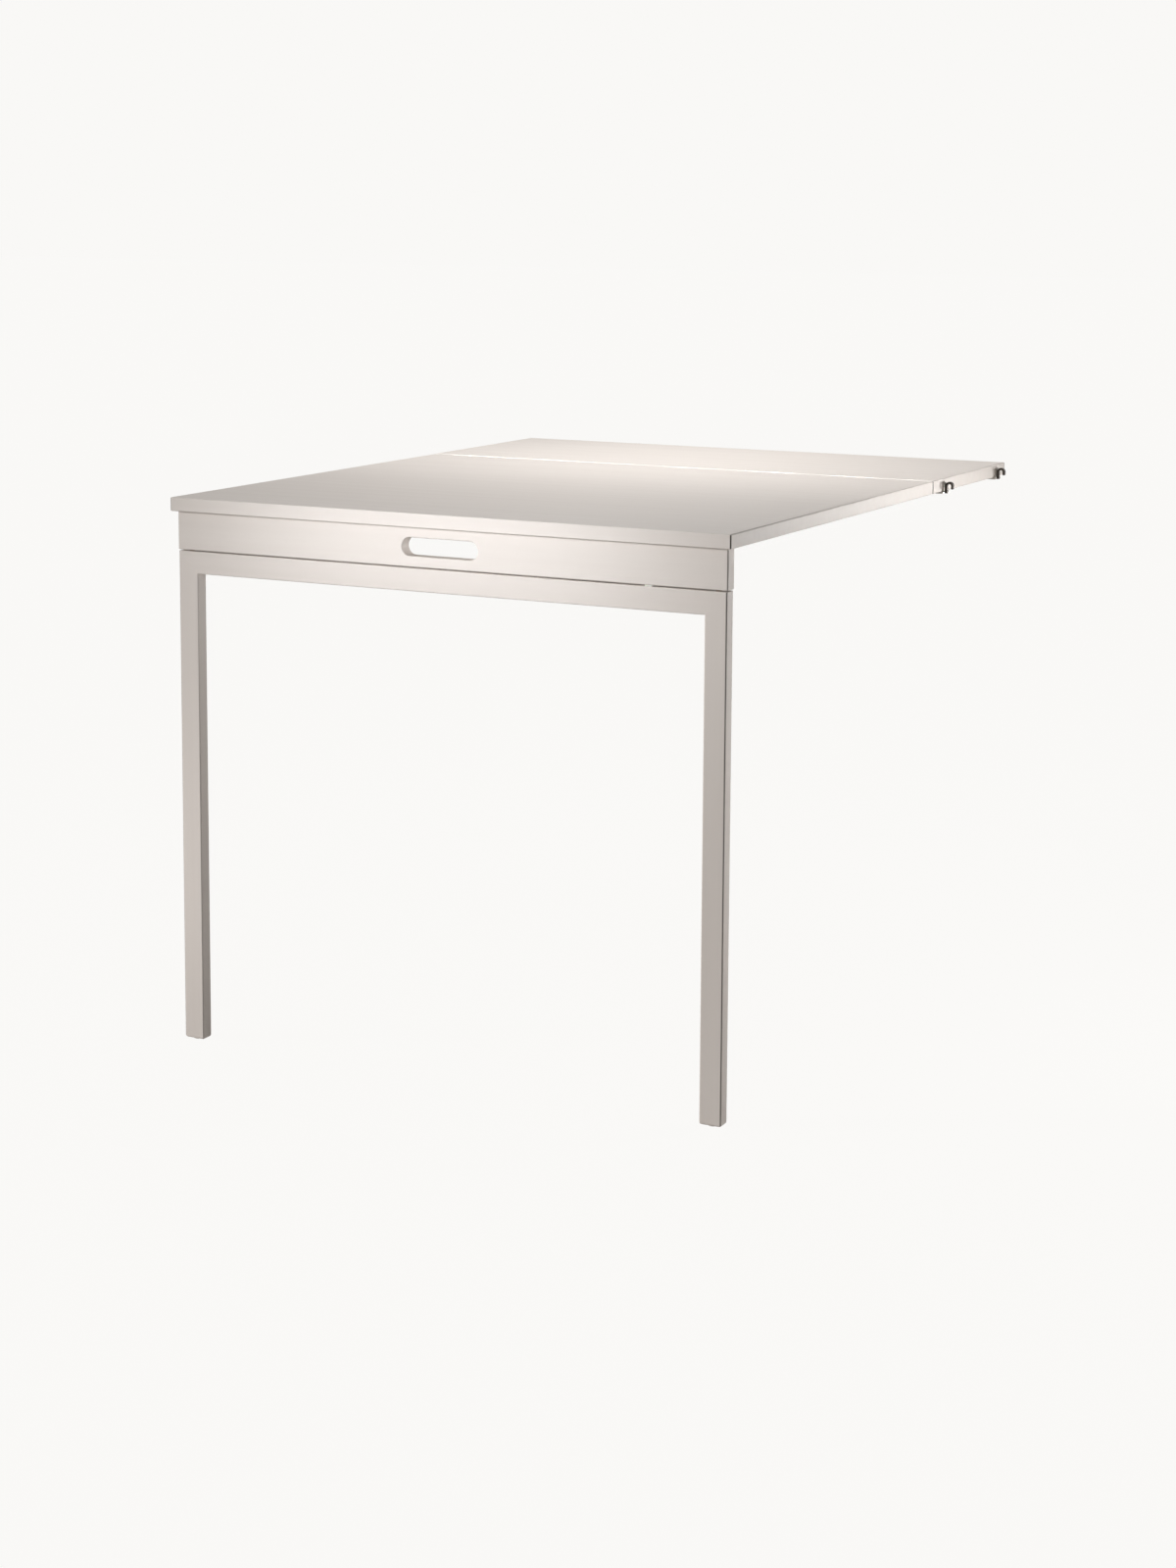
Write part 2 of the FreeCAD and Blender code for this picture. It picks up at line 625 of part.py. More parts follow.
for hinge_name, hinge_x in LEG_HINGE_X.items():
    make_hinge_plate(f"apron_hinge_plate_{hinge_name}", 1, FIXED_KNUCKLES,
                     hinge_x, LEG_AXIS_Y, LEG_AXIS_Z, UPRIGHT)
    make_hinge_plate(f"leg_hinge_plate_{hinge_name}", -1, MOVING_KNUCKLES,
                     hinge_x, LEG_AXIS_Y, LEG_AXIS_Z, UPRIGHT)
copies("leg_hinge_pins", hinge_pin, [(x, LEG_AXIS_Y, LEG_AXIS_Z) for x in LEG_HINGE_X.values()])
plate_face_y = APRON_REAR_Y + S.hinge_sheet
copies("apron_hinge_screws", screw, [(x + along, plate_face_y, LEG_AXIS_Z + up)
                                     for x in LEG_HINGE_X.values() for along, up in HINGE_SCREWS], UPRIGHT)
copies("leg_hinge_screws", screw, [(x + along, plate_face_y, LEG_AXIS_Z - down)
                                   for x in LEG_HINGE_X.values() for along, down in HINGE_SCREWS], UPRIGHT)


# Rubber pads: one in the gap over the rail, and one under the leaf for each folded leg

def make_gap_bumper():
    height = S.leg_gap - S.bumper_clearance
    bumper = new_body("gap_bumper", HALF_WIDTH - S.apron_inset - S.bumper_inset,
                      APRON_FRONT_Y + S.bumper_setback, APRON_LOW_Z - height)
    half = S.bumper_width / 2
    outline = rectangle(bumper, "XY_Plane", "outline", (-half, half), (as_size(0), S.bumper_depth))
    pad(bumper, outline, height)
    upright = height.value / 2
    round_edges(bumper, S.bumper_corner_radius, lambda extent: extent.ZLength > upright)
    return bumper


make_gap_bumper()
for side_name, side_sign in SIDES.items():
    pad_label = f"leg_rest_{side_name}"
    keep(rod(pad_label, S.rest_radius, S.rest_height, LEG_CENTRE_X * side_sign, LEAF_REAR_Y - S.rest_inset,
             UNDERSIDE_Z - S.rest_height), pad_label)


# Every feature must have worked before anything is written.

document.recompute()
failed = [item.Name for item in document.Objects if {"Invalid", "Error"} & set(item.State)]
if failed:
    raise RuntimeError(f"failed features: {failed}")
for item in nodes:
    if item.Shape.isNull() or not item.Shape.isValid() or not item.Shape.Solids:
        raise RuntimeError(f"{item.Label} has no valid solid")

os.makedirs("parts", exist_ok=True)
for item in nodes:
    item.Shape.exportStep(f"parts/{item.Label}.step")
    print(f"{item.Label}: {len(item.Shape.Solids)} solids, {item.Shape.Volume:.1f} cubic mm")
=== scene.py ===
# %% [markdown]
# # A wall mounted drop leaf table
#
# The table is a lacquered shelf that hangs on four small side hooks, a large leaf hinged to
# the shelf's front edge, a slotted apron that serves as the leaf's handle, and a leg frame
# that folds up behind the apron. Its boards, hinges, hooks and screws come from the CAD model
# at their true size, and this lesson gives each of them a finish, adds the small moulded
# pads, and lights the table as a studio would.

# %% Load the frame
import math

import bpy
from mathutils import Matrix, Vector


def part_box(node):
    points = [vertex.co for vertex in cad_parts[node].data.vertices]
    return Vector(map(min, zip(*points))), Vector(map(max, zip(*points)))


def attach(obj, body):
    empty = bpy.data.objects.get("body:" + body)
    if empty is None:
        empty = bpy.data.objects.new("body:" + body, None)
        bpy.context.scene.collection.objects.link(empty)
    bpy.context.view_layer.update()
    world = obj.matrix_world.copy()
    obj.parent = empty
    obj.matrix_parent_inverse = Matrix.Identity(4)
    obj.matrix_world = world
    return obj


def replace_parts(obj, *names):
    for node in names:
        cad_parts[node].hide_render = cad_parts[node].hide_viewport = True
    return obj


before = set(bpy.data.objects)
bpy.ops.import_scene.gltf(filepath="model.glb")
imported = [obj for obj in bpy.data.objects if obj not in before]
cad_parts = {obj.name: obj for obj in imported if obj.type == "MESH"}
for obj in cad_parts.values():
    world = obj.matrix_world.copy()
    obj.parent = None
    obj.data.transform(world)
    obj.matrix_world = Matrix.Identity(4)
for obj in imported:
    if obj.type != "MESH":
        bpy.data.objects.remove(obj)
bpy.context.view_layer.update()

# %% [markdown]
# ## Shader sums in plain Python
#
# A finish is a small graph of nodes. It could be laid out by hand in the shader editor, but a
# script has to write it, and node by node that is hard to read. So one class wraps a socket:
# adding, subtracting, multiplying or dividing makes the Math node that does the sum, and its
# node method makes any other node.

# %% A socket that can be used in sums


class Wire:
    """An output socket of a node tree, for use in Python sums."""

    def __init__(self, tree, output):
        self.tree = tree
        self.output = output

    def node(self, kind, settings, inputs, output=0):
        """Adds a node: its settings first, then the values or links of its sockets."""
        made = self.tree.nodes.new(kind)
        for key, value in settings.items():
            setattr(made, key, value)
        for key, value in inputs.items():
            if isinstance(value, Wire):
                self.tree.links.new(value.output, made.inputs[key])
            else:
                made.inputs[key].default_value = value
        return Wire(self.tree, made.outputs[output])

    def maths(self, operation, first, second=0.0):
        return self.node("ShaderNodeMath", {"operation": operation}, {0: first, 1: second})

    def __add__(self, other):
        return self.maths("ADD", self, other)

    def __sub__(self, other):
        return self.maths("SUBTRACT", self, other)

    def __rsub__(self, other):
        return self.maths("SUBTRACT", other, self)

    def __mul__(self, other):
        return self.maths("MULTIPLY", self, other)

    __rmul__ = __mul__

    def __truediv__(self, other):
        return self.maths("DIVIDE", self, other)

    def __abs__(self):
        return self.maths("ABSOLUTE", self)


print("sums ready")

# %% [markdown]
# ## Starting a finish
#
# Every finish starts from the same few nodes: the coordinates of the piece, a noise, a mix of
# two colours, and a bump for relief that is too fine to model. Sockets that are the same all
# over a surface are set directly on the shader, which keeps each graph short. Colours are
# picked on screen, from 0 to 255, and a shader wants them linear, so one function converts
# them.

# %% Helpers for finishes


def new_finish(name, **constants):
    """A material with its shader's constant sockets set; returns it, its shader and coordinates."""
    material = bpy.data.materials.new(name)
    material.use_nodes = True
    tree = material.node_tree
    shader = tree.nodes["Principled BSDF"]
    for socket, value in constants.items():
        shader.inputs[socket.replace("_", " ")].default_value = value
    coordinates = tree.nodes.new("ShaderNodeTexCoord")
    return material, shader, Wire(tree, coordinates.outputs["Object"])


def drive(shader, socket, wire):
    wire.tree.links.new(wire.output, shader.inputs[socket])


def axis(place, name):
    return place.node("ShaderNodeSeparateXYZ", {}, {"Vector": place}, name)


def stretched(place, scale):
    """Object coordinates scaled along each axis, so that a pattern is drawn out along one."""
    return place.node("ShaderNodeVectorMath", {"operation": "MULTIPLY"},
                      {0: place, 1: scale}, "Vector")


def noise(place, scale=1.0, detail=2.0):
    return place.node("ShaderNodeTexNoise", {},
                      {"Vector": place, "Scale": scale, "Detail": detail}, "Fac")


def around_zero(pattern):
    """A noise lies around one half; this moves it to lie around zero."""
    return pattern - 0.5


def clamped(wire):
    return wire.node("ShaderNodeClamp", {}, {"Value": wire})


def mixed(factor, first, second):
    """A colour between two, by a factor from 0 to 1."""
    return factor.node("ShaderNodeMix", {"data_type": "RGBA"},
                       {"Factor": factor, 6: first, 7: second}, 2)


def bumped(height):
    """A normal that follows a height in metres."""
    return height.node("ShaderNodeBump", {}, {"Strength": 1.0, "Distance": 1.0, "Height": height})


def linear(red, green, blue):
    """A colour picked on screen, from 0 to 255, as the linear values that a shader takes."""
    shares = (value / 255 for value in (red, green, blue))
    curve = (s / 12.92 if s <= 0.04045 else ((s + 0.055) / 1.055) ** 2.4 for s in shares)
    return (*curve, 1.0)


print("finish helpers ready")

# %% [markdown]
# ## Painted shade and highlight at the edges
#
# Where leaf and shelf meet, the faces inside the seam are painted dark as painted shade, and the
# seam's upper edges are painted pale as a painted highlight. On upright front corners a fine dark
# line of painted shade is drawn, and it shows faintly along the side edges of the top. These
# tones could be painted on an image, but each lies at a known distance from an edge, so a mask on
# the coordinates is exact. Each mask is 0 past its distance, and inside it rises to 1 within a
# fifth of a millimetre.

# %% Masks along the edges
# Painted shade: a dark tone inside the seam and along the corners and side edges.
EDGE_PAINTED_SHADE = linear(104, 96, 90)
# The pale tone is a painted highlight on the seam's upper edges.
SEAM_PAINTED_HIGHLIGHT = linear(243, 238, 232)
MASK_STEEPNESS = 5000.0
LEAF_LOW, LEAF_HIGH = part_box("leaf_board")
SHELF_LOW, SHELF_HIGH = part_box("shelf_board")
SEAM_Y = (LEAF_HIGH.y + SHELF_LOW.y) / 2
SEAM_EDGE_DEPTH = 0.0010
SEAM_INSIDE = 0.00145
SEAM_HIGHLIGHT_REACH = 0.00195
EDGE_RADIUS = 0.0015
SIDE_EDGE_SHARE = 0.35
SIDE_EDGE_END_Y = 0.05


def within(reach, distance):
    """A mask that is 0 past a reach, and 1 from a little inside it."""
    return clamped((reach - distance) * MASK_STEEPNESS)


def seam_shade_and_highlight(place, colour):
    """Paints shade inside the seam of the top, and a pale highlight on the seam's upper edges."""
    distance = abs(axis(place, "Y") - SEAM_Y)
    upper = within(SEAM_EDGE_DEPTH, SHELF_HIGH.z - axis(place, "Z"))
    # Painted shade inside the seam, and a painted highlight on its upper edges.
    inside = within(SEAM_INSIDE, distance) * (1.0 - upper)
    highlight = within(SEAM_HIGHLIGHT_REACH, distance) * upper
    return mixed(highlight, mixed(inside, colour, EDGE_PAINTED_SHADE), SEAM_PAINTED_HIGHLIGHT)


def shaded_corners(place, colour, piece, share):
    """Paints a fine dark line of shade on a piece's upright front corners."""
    low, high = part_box(piece)
    # Painted shade along the corner.
    distance = (high.x - abs(axis(place, "X"))) + (axis(place, "Y") - low.y)
    return mixed(within(EDGE_RADIUS, distance) * share, colour, EDGE_PAINTED_SHADE)


def shaded_side_edges(place, colour):
    """Paints faint shade on the top's side edges, less and less towards the wall."""
    from_end = LEAF_HIGH.x - abs(axis(place, "X"))
    from_top = abs(LEAF_HIGH.z - axis(place, "Z"))
    from_front = axis(place, "Y") - LEAF_LOW.y
    fading = SIDE_EDGE_SHARE * clamped(1.0 - from_front / (SIDE_EDGE_END_Y - LEAF_LOW.y))
    # Painted shade along the side edges.
    return mixed(within(EDGE_RADIUS, from_end + from_top) * fading, colour, EDGE_PAINTED_SHADE)


print("seam at", round(SEAM_Y, 4), "edges rounded to", EDGE_RADIUS)

# %% [markdown]
# ## Satin lacquer
#
# The boards are painted in a warm beige and rubbed to a satin sheen. Up close such a finish
# has an orange peel of about a millimetre, and the grain of the board below still telegraphs
# through as very faint streaks along its length. Both could be modelled, but they are far
# under a tenth of a millimetre deep, so a Bump node carries them. The streaks run along X on
# the boards, apron and rail, and along Z on the legs, which is also what lets the mitred
# corners of the leg frame be seen.

# %% Lacquer on boards, apron, rail and legs
LACQUER = linear(225, 217, 210)
LACQUER_SHADE = linear(218, 209, 202)
USUAL_SHADE = 0.35
STREAK_TONE = 0.9
CLOUD_TONE = 0.7
CLOUD_SCALE = 2.6
PEEL_SCALE = 720.0
PEEL_HEIGHT = 0.000012
STREAK_HEIGHT = 0.000010
SATIN = 0.46
PEEL_SHEEN = 0.06
STREAK_SHEEN = 0.10
ALONG_X = (2.2, 95.0, 95.0)
ALONG_Z = (95.0, 95.0, 2.2)


def lacquer(name, along, tone, shaded_corner_piece, share):
    """Beige satin lacquer over a grain that runs along one axis.

    Tone adds painted shade, and a share of painted shade darkens one piece's corners.
    """
    material, shader, place = new_finish(name, Specular_IOR_Level=0.12, IOR=1.45)
    streaks = noise(stretched(place, along), detail=4.0)
    clouds = noise(place, CLOUD_SCALE)
    peel = noise(place, PEEL_SCALE, detail=1.0)
    shade = clamped(around_zero(streaks) * STREAK_TONE + around_zero(clouds) * CLOUD_TONE
                    + (USUAL_SHADE + tone))
    # Painted shade on corners, side edges and seam; a painted highlight on the seam's edges.
    colour = shaded_corners(place, mixed(shade, LACQUER, LACQUER_SHADE), shaded_corner_piece, share)
    drive(shader, "Base Color", seam_shade_and_highlight(place, shaded_side_edges(place, colour)))
    drive(shader, "Roughness",
          around_zero(peel) * PEEL_SHEEN + around_zero(streaks) * STREAK_SHEEN + SATIN)
    drive(shader, "Normal", bumped(peel * PEEL_HEIGHT + streaks * STREAK_HEIGHT))
    return material


# The rails and legs are painted darker by their tone, as painted shade on the lower pieces.
lacquer_boards = lacquer("lacquer_boards", ALONG_X, tone=0.0, shaded_corner_piece="leaf_board", share=1.0)
lacquer_apron = lacquer("lacquer_apron", ALONG_X, tone=0.0, shaded_corner_piece="apron", share=0.4)
lacquer_rails = lacquer("lacquer_rails", ALONG_X, tone=0.1, shaded_corner_piece="leg_rail", share=0.55)
lacquer_legs = lacquer("lacquer_legs", ALONG_Z, tone=0.25, shaded_corner_piece="right_leg", share=0.55)
print("lacquers", [m.name for m in (lacquer_boards, lacquer_apron, lacquer_rails, lacquer_legs)])

# %% [markdown]
# ## Steel of the hooks
#
# The hooks are bent from one steel strip. Its uprights are painted bright as a highlight, and
# the crook that hangs on a rung is painted nearly black as shade. Two materials would need the
# faces of each hook sorted by hand, so one material makes both: a mask on the distance from the
# table's middle finds the crook, which stands outside the upright's sheet.

# %% Steel with a painted highlight and painted shade on the hooks
# The light tone is a painted highlight on the uprights, the dark one painted shade on the crook.
HOOK_HIGHLIGHT = linear(168, 163, 157)
HOOK_SHADE = linear(52, 46, 42)
HOOK_SHEET_REACH = 0.0026
HOOK_MASK_STEEPNESS = 8000.0
CROOK_SHADE_SHARE = 0.94
HOOK_ROUGHNESS = 0.30
SCUFF_SCALE = 900.0
SCUFF_TONE = 0.5
SCUFF_SHEEN = 0.18
SCUFF_HEIGHT = 0.000008


def hook_steel():
    """Painted highlight, black painted shade past the upright's sheet, and scuffs all over."""
    material, shader, place = new_finish("hook_steel", Metallic=1.0)
    past_sheet = abs(axis(place, "X")) - (SHELF_HIGH.x + HOOK_SHEET_REACH)
    # The mask is at one half on the sheet's outer face.
    crook = clamped(past_sheet * HOOK_MASK_STEEPNESS + 0.5)
    scuff = noise(place, SCUFF_SCALE, detail=3.0)
    # Painted shade on the crook, mixed with the steel's scuffs.
    dark = clamped(crook * CROOK_SHADE_SHARE + around_zero(scuff) * SCUFF_TONE)
    drive(shader, "Base Color", mixed(dark, HOOK_HIGHLIGHT, HOOK_SHADE))
    drive(shader, "Roughness", scuff * SCUFF_SHEEN + HOOK_ROUGHNESS)
    drive(shader, "Normal", bumped(scuff * SCUFF_HEIGHT))
    return material


hook_finish = hook_steel()
print("hooks", hook_finish.name)

# %% [markdown]
# ## Bright plated steel
#
# Hinges and screws are bright plated steel with a dull bloom. Hinge plates are cut from rolled
# sheet, which has fine lines along its length, and the screws are turned, so their grain is
# the same every way. Such lines are far too many to model, so a noise drawn out along X stands
# for them on the plates, and an even noise on the screws.

# %% Steel for hinges and screws
PLATING = linear(196, 193, 187)
PLATING_DULL = linear(168, 164, 156)
BLOOM_SCALE = 160.0
BLOOM_TONE = 0.8
BRIGHT_SHARE = 0.1
LINE_TONE = 0.3
LINE_SHEEN = 0.16
LINE_HEIGHT = 0.000006
ROLLED = (60.0, 3200.0, 3200.0)
TURNED = (1400.0, 1400.0, 1400.0)


def plated_steel(name, along, roughness):
    """Bright steel with a dull bloom, and fine lines drawn out along one axis or none."""
    material, shader, place = new_finish(name, Metallic=1.0)
    lines = noise(stretched(place, along))
    bloom = noise(place, BLOOM_SCALE, detail=3.0)
    dull = clamped(bloom * BLOOM_TONE + lines * LINE_TONE - BRIGHT_SHARE)
    drive(shader, "Base Color", mixed(dull, PLATING, PLATING_DULL))
    drive(shader, "Roughness", around_zero(lines) * LINE_SHEEN + roughness)
    drive(shader, "Normal", bumped(lines * LINE_HEIGHT))
    return material


hinge_finish = plated_steel("hinge_plating", ROLLED, roughness=0.34)
screw_finish = plated_steel("screw_plating", TURNED, roughness=0.28)
print("plated", hinge_finish.name, screw_finish.name)

# %% [markdown]
# ## Beech, rubber and nylon
#
# The dowels are turned beech, hidden in their holes until someone takes the table apart. The
# pads are a pale soft rubber, a little translucent, and the glides under the feet are moulded
# nylon. None of these is one flat colour: beech has short flecks along the grain, rubber a
# bloom, and nylon a fine moulded texture. Pictures of them could be wrapped around the pieces,
# but a noise needs no file and no unwrapping, so one function makes all three.

# %% Small finishes
BEECH = linear(206, 170, 128)
BEECH_FLECK = linear(170, 126, 86)
RUBBER = linear(250, 246, 241)
RUBBER_BLOOM = linear(238, 232, 226)
NYLON = linear(214, 210, 203)
NYLON_SHADE = linear(196, 191, 183)
BEECH_GRAIN = (900.0, 900.0, 90.0)
RUBBER_GRAIN = (420.0, 420.0, 420.0)
NYLON_GRAIN = (1100.0, 1100.0, 1100.0)
FLECK_CONTRAST = 2.4
FLECK_SHARE = 0.4
FLECK_SHEEN = 0.12


def flecked(name, light, dark, scale, roughness, depth, **constants):
    """A dull finish of two close colours with a fine relief."""
    material, shader, place = new_finish(name, **constants)
    flecks = noise(stretched(place, scale), detail=3.0)
    darker = clamped(around_zero(flecks) * FLECK_CONTRAST + FLECK_SHARE)
    drive(shader, "Base Color", mixed(darker, light, dark))
    drive(shader, "Roughness", around_zero(flecks) * FLECK_SHEEN + roughness)
    drive(shader, "Normal", bumped(flecks * depth))
    return material


beech = flecked("beech", BEECH, BEECH_FLECK, BEECH_GRAIN, roughness=0.6, depth=0.00003)
rubber = flecked("pale_rubber", RUBBER, RUBBER_BLOOM, RUBBER_GRAIN, roughness=0.55,
                 depth=0.000015, Subsurface_Weight=0.25, Subsurface_Scale=0.002)
nylon = flecked("nylon", NYLON, NYLON_SHADE, NYLON_GRAIN, roughness=0.5, depth=0.00001)
print("small finishes", beech.name, rubber.name, nylon.name)

# %% [markdown]
# ## Dressing the CAD pieces
#
# Every CAD piece gets the finish of what it is made of. A piece is found by its name, so one
# table of name beginnings serves all of them, and the longest beginning that fits wins.

# %% Assign the finishes
FINISH_OF = {
    "shelf_board": lacquer_boards, "leaf_board": lacquer_boards, "apron": lacquer_apron,
    "leg_rail": lacquer_rails, "left_leg": lacquer_legs, "right_leg": lacquer_legs,
    "hook_": hook_finish, "hook_screws": screw_finish,
    "shelf_hinge_": hinge_finish, "leaf_hinge_": hinge_finish,
    "apron_hinge_": hinge_finish, "leg_hinge_": hinge_finish,
    "shelf_hinge_screws": screw_finish, "leaf_hinge_screws": screw_finish,
    "apron_hinge_screws": screw_finish, "leg_hinge_screws": screw_finish,
    "apron_dowels": beech, "corner_dowels": beech,
    "gap_bumper": rubber, "leg_rest_": rubber, "foot_glide_": nylon,
}


def set_finish(piece, material):
    piece.data.materials.clear()
    piece.data.materials.append(material)


for name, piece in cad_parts.items():
    beginning = max((b for b in FINISH_OF if name.startswith(b)), key=len)
    set_finish(piece, FINISH_OF[beginning])
print("dressed", len(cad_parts), "CAD pieces")

# %% [markdown]
# ## Shaping a piece by hand
#
# The rubber pads are moulded, so they have soft rims that the plain solids lack, and they are
# modelled here. An operator acts on all that is selected, so one function selects just the
# faces or edges that a test picks. Two more start a piece and finish it: the object is left at
# the origin with its place in its mesh, and the piece then rides on a body and stands for the
# CAD piece whose space it fills.

# %% Helpers for pieces
SMOOTH_BELOW = math.radians(40)
ROUND_PROFILE = 0.5
DOWNWARD = -0.9


def pick(piece, parts, wanted):
    """Selects, in edit mode, those of the piece's faces or edges that a test picks."""
    bpy.ops.object.mode_set(mode="EDIT")
    bpy.ops.mesh.select_mode(type=parts)
    bpy.ops.mesh.select_all(action="DESELECT")
    bpy.ops.object.mode_set(mode="OBJECT")
    for part in piece.data.polygons if parts == "FACE" else piece.data.edges:
        part.select = wanted(part)
    bpy.ops.object.mode_set(mode="EDIT")


def round_off(offset, steps):
    bpy.ops.mesh.bevel(offset=offset, offset_type="OFFSET", segments=steps,
                       profile=ROUND_PROFILE)


def looks_down(face):
    return face.normal.z < DOWNWARD


def started(name):
    """Names the primitive just made and sets its object at the origin, unturned and unscaled."""
    piece = bpy.context.object
    piece.name = name
    bpy.ops.object.transform_apply(location=True, rotation=True, scale=True)
    return piece


def finished(piece, material, body, node):
    """Smooths a shaped piece, dresses it, and lets it ride a body in a CAD piece's stead."""
    bpy.ops.object.mode_set(mode="OBJECT")
    bpy.ops.object.shade_smooth_by_angle(angle=SMOOTH_BELOW)
    set_finish(piece, material)
    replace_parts(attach(piece, body), node)
    size = [round(x * 1000, 2) for x in piece.dimensions]
    print(piece.name, "faces", len(piece.data.polygons), size)


print("shaping helpers ready")

# %% [markdown]
# ## Moulded leg rests
#
# Two rubber rests under the leaf stop the folded legs. They have a crowned face and a soft
# rim. A flattened sphere would give the crown but no rim, so each starts as a cylinder at its
# place. Its free face is moved in by the crown's height and bevelled, then inset three times
# and pushed out a little each time. The crown stays inside the space of the CAD piece, which
# the new one then stands for.

# %% Crowned leg rests
REST_SIDES = 48
REST_RIM = 0.0022
REST_RIM_STEPS = 4
REST_CROWN = 0.0012
# The crown rises by these shares of its height at each inset, steep at the rim and level inside.
CROWN_SHARES = (0.5, 0.3, 0.2)
SAME_HEIGHT = 1e-6


def crowned_rest(name, node):
    """A disc in a CAD piece's space whose lower face is crowned and has a soft rim."""
    low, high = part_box(node)
    radius = (high.x - low.x) / 2
    shoulder = low.z + REST_CROWN
    bpy.ops.object.select_all(action="DESELECT")
    bpy.ops.mesh.primitive_cylinder_add(vertices=REST_SIDES, radius=radius, depth=high.z - low.z,
                                        location=(low + high) / 2)
    piece = started(name)

    def on_shoulder(face):
        return looks_down(face) and abs(face.center.z - shoulder) < SAME_HEIGHT

    pick(piece, "FACE", looks_down)
    bpy.ops.transform.translate(value=(0.0, 0.0, REST_CROWN))
    round_off(REST_RIM, REST_RIM_STEPS)
    pick(piece, "FACE", on_shoulder)
    for share in CROWN_SHARES:
        bpy.ops.mesh.inset(thickness=(radius - REST_RIM) / (len(CROWN_SHARES) + 1))
        bpy.ops.transform.translate(value=(0.0, 0.0, -REST_CROWN * share))
    finished(piece, rubber, "leaf", node)


crowned_rest("rest_pad_left", "leg_rest_left")
crowned_rest("rest_pad_right", "leg_rest_right")

# %% [markdown]
# ## The pad in the gap
#
# A thin block of the same rubber sits in the gap between apron and rail, so that the unfolded
# legs don't knock. It starts as a cube of the CAD piece's size. A Bevel modifier would round
# all its edges alike, so the operator is used twice: the upright edges get round corners, and
# the lower face a soft rim.

# %% Gap pad
PAD_CORNER = 0.002
PAD_CORNER_STEPS = 6
PAD_RIM = 0.0003
PAD_RIM_STEPS = 3


def gap_pad(name, node):
    low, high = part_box(node)
    bpy.ops.object.select_all(action="DESELECT")
    bpy.ops.mesh.primitive_cube_add(size=1.0, location=(low + high) / 2, scale=high - low)
    piece = started(name)
    heights = [vertex.co.z for vertex in piece.data.vertices]
    half = (high.z - low.z) / 2

    def upright(edge):
        first, second = edge.vertices
        return abs(heights[first] - heights[second]) > half

    pick(piece, "EDGE", upright)
    round_off(PAD_CORNER, PAD_CORNER_STEPS)
    pick(piece, "FACE", looks_down)
    round_off(PAD_RIM, PAD_RIM_STEPS)
    finished(piece, rubber, "leaf", node)


gap_pad("gap_pad", "gap_bumper")

# %% [markdown]
# ## Floor and background
#
# The picture's background is one pale tone. A lit floor alone would shade from bright to dark,
# so for the rays that come from the camera or a reflection the floor glows almost white, and a
# small share of it is lit. That share is darker, so it brings the glow down to the pale tone
# and keeps the table's soft shadow. The world behind has the pale tone for the same rays, so
# no horizon shows. For all other rays, which carry light to the table, the floor is a plain
# grey and the world is dim.

# %% Stage
PALE = linear(249, 248, 246)
FLOOR_SIDE = 60.0
FLOOR_LIT = linear(205, 203, 200)
FLOOR_GLOW = linear(253, 252, 250)
LIT_SHARE = 0.04
AMBIENT = 0.13

bpy.ops.object.select_all(action="DESELECT")
bpy.ops.mesh.primitive_plane_add(size=FLOOR_SIDE, location=(0.0, 0.0, 0.0))
floor = bpy.context.object
floor.name = "floor"


def seen_rays(tree):
    """1 for rays from the camera or a reflection, 0 for rays that only carry light."""
    rays = tree.nodes.new("ShaderNodeLightPath")
    camera, glossy, passing = (Wire(tree, rays.outputs[f"Is {kind} Ray"])
                               for kind in ("Camera", "Glossy", "Transmission"))
    return clamped(camera + glossy + passing)


def floor_finish():
    material = bpy.data.materials.new("pale_floor")
    material.use_nodes = True
    tree = material.node_tree
    tree.nodes.clear()
    seen = seen_rays(tree)
    lit = seen.node("ShaderNodeBsdfDiffuse", {}, {"Color": FLOOR_LIT})
    glow = seen.node("ShaderNodeEmission", {}, {"Color": FLOOR_GLOW, "Strength": 1.0})
    both = seen.node("ShaderNodeMixShader", {}, {0: seen * (1.0 - LIT_SHARE), 1: lit, 2: glow})
    output = tree.nodes.new("ShaderNodeOutputMaterial")
    tree.links.new(both.output, output.inputs["Surface"])
    return material


def light_world():
    world = bpy.data.worlds.new("pale_world")
    world.use_nodes = True
    tree = world.node_tree
    tree.nodes.clear()
    seen = seen_rays(tree)
    strength = seen * (1.0 - AMBIENT) + AMBIENT
    background = seen.node("ShaderNodeBackground", {}, {"Color": PALE, "Strength": strength})
    output = tree.nodes.new("ShaderNodeOutputWorld")
    tree.links.new(background.output, output.inputs["Surface"])
    bpy.context.scene.world = world


set_finish(floor, floor_finish())
light_world()
bpy.context.scene.view_settings.view_transform = "Standard"
print("stage", floor.name, bpy.context.scene.world.name)

# %% [markdown]
# ## Studio light
#
# A distant key light comes low from the left. A narrow lamp close in front of the apron makes
# the front brightest in the middle. Its light is a little cool, because what bounces between
# warm boards grows warmer. Two lamps over the wall end brighten the far half of the top, and a
# weak one fills its middle. Behind on the right, one lamp brushes along the leaf's edge and two
# light the side of the leg. Rounded corners that face between these and the key catch neither,
# which draws them as fine dark lines.
#
# A thin lamp skims over the leaf towards the seam, where only the shelf's edge stands high
# enough to catch it, so the seam shows as a bright line. A Sun lamp serves as the key, because
# its strength is the same on both legs. The rest are area lamps aimed at a point. All are
# hidden from the camera, and the two lowest from reflections too, or the satin top would glare
# when it is seen from behind.

# %% Lamps
KEY_TURN = math.radians(-60.0)
KEY_HEIGHT = math.radians(9.0)
KEY_SOFTNESS = math.radians(12.0)
KEY_STRENGTH = 2.76
KEY_DISTANCE = 4.0
LOW_LAMPS = ("key", "seam_skim")
UNTINTED = (1.0, 1.0, 1.0)
TINTS = {"front_strip": (0.917, 0.954, 1.0)}
